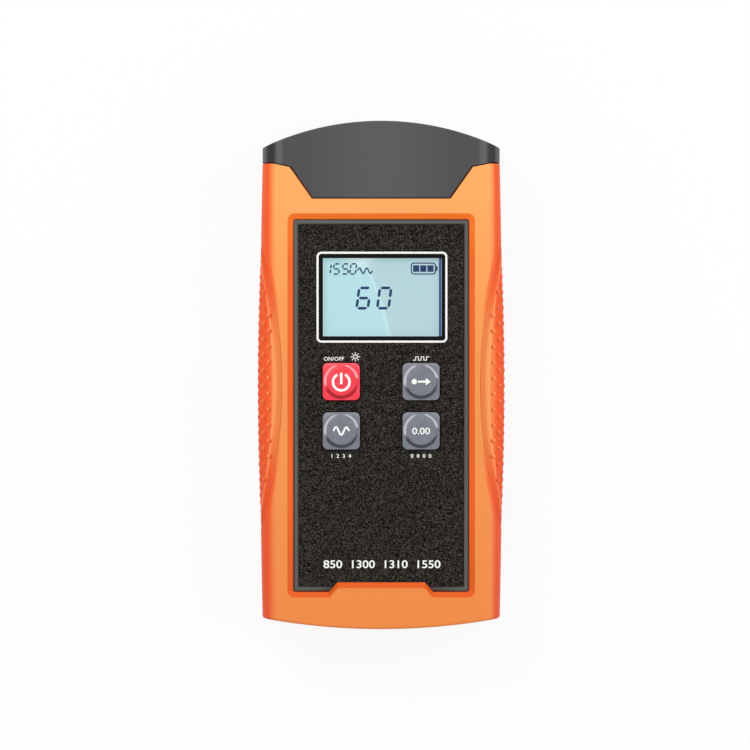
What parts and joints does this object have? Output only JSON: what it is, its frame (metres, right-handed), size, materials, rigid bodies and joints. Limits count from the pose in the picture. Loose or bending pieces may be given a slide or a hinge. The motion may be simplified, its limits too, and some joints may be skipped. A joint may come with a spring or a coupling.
{
  "type": "optical power meter",
  "caption": "Palm-size fibre optical power meter with display, four keys, side grips, and a flip dust cover over its optical input and fault-laser ports.",
  "frame": {"origin": "middle of the footprint on the back face, on which the meter lies", "axes": "+Z is the normal of the display, +Y points to the dust cover and the fibre ports, +X is the right-hand side seen from the front"},
  "size_m": [0.0634, 0.13, 0.0283],
  "materials": {
    "case_orange": "moulded, fine satin grain",
    "grip_rubber": "soft moulded, satin",
    "cover_grey": "moulded, satin",
    "frame_grey": "moulded, satin",
    "film_black": "textured film with fine sparkle",
    "window_clear": "clear, polished",
    "lcd": "pale cyan with dark segments",
    "backlight_white": "white moulding",
    "board_green": "solder mask",
    "steel": "plain",
    "nickel": "nickel plated, turned",
    "brass": "turned",
    "key_red": "coated silicone",
    "key_grey": "coated silicone",
    "silicone": "silicone sheet",
    "plate_black": "moulded",
    "cell_jacket": "plain jacket"
  },
  "bodies": {
    "case": {"front_shell": "case_orange", "rear_shell": "case_orange", "side_grip_left": "grip_rubber", "side_grip_right": "grip_rubber", "panel_frame": "frame_grey", "panel_overlay": "film_black", "display_window": "window_clear", "lcd_glass": "lcd", "lcd_backlight": "backlight_white", "keypad_mat": "silicone", "dome_switches": "steel", "main_board": "board_green", "board_screws": "steel", "case_screws": "steel", "cover_hinge_pin_left": "steel", "cover_hinge_pin_right": "steel", "port_plate": "plate_black", "optical_port_body": "nickel", "optical_adapter": "nickel", "photodetector": "nickel", "laser_port": "nickel", "laser_port_nut": "nickel", "laser_module": "brass", "battery_left": "cell_jacket", "battery_middle": "cell_jacket", "battery_right": "cell_jacket", "battery_contacts_lower": "steel", "battery_contacts_upper": "steel"},
    "cover": {"dust_cover": "cover_grey"},
    "power_key": {"key_power": "key_red"},
    "laser_key": {"key_laser": "key_grey"},
    "wavelength_key": {"key_wavelength": "key_grey"},
    "reference_key": {"key_reference": "key_grey"},
    "door": {"battery_door": "case_orange"}
  },
  "joints": [
    {"name": "cover_flip", "type": "hinge", "parent": "case", "child": "cover", "pos_m": [0, 0.048, 0.0035], "axis": [-1, 0, 0], "range_deg": [0, 120]},
    {"name": "power_press", "type": "slide", "parent": "case", "child": "power_key", "axis": [0, 0, -1], "range_m": [0, 0.0008], "stiffness_N_per_m": 1500},
    {"name": "laser_press", "type": "slide", "parent": "case", "child": "laser_key", "axis": [0, 0, -1], "range_m": [0, 0.0008], "stiffness_N_per_m": 1500},
    {"name": "wavelength_press", "type": "slide", "parent": "case", "child": "wavelength_key", "axis": [0, 0, -1], "range_m": [0, 0.0008], "stiffness_N_per_m": 1500},
    {"name": "reference_press", "type": "slide", "parent": "case", "child": "reference_key", "axis": [0, 0, -1], "range_m": [0, 0.0008], "stiffness_N_per_m": 1500},
    {"name": "door_slide", "type": "slide", "parent": "case", "child": "door", "axis": [0, -1, 0], "range_m": [0, 0.064]}
  ]
}
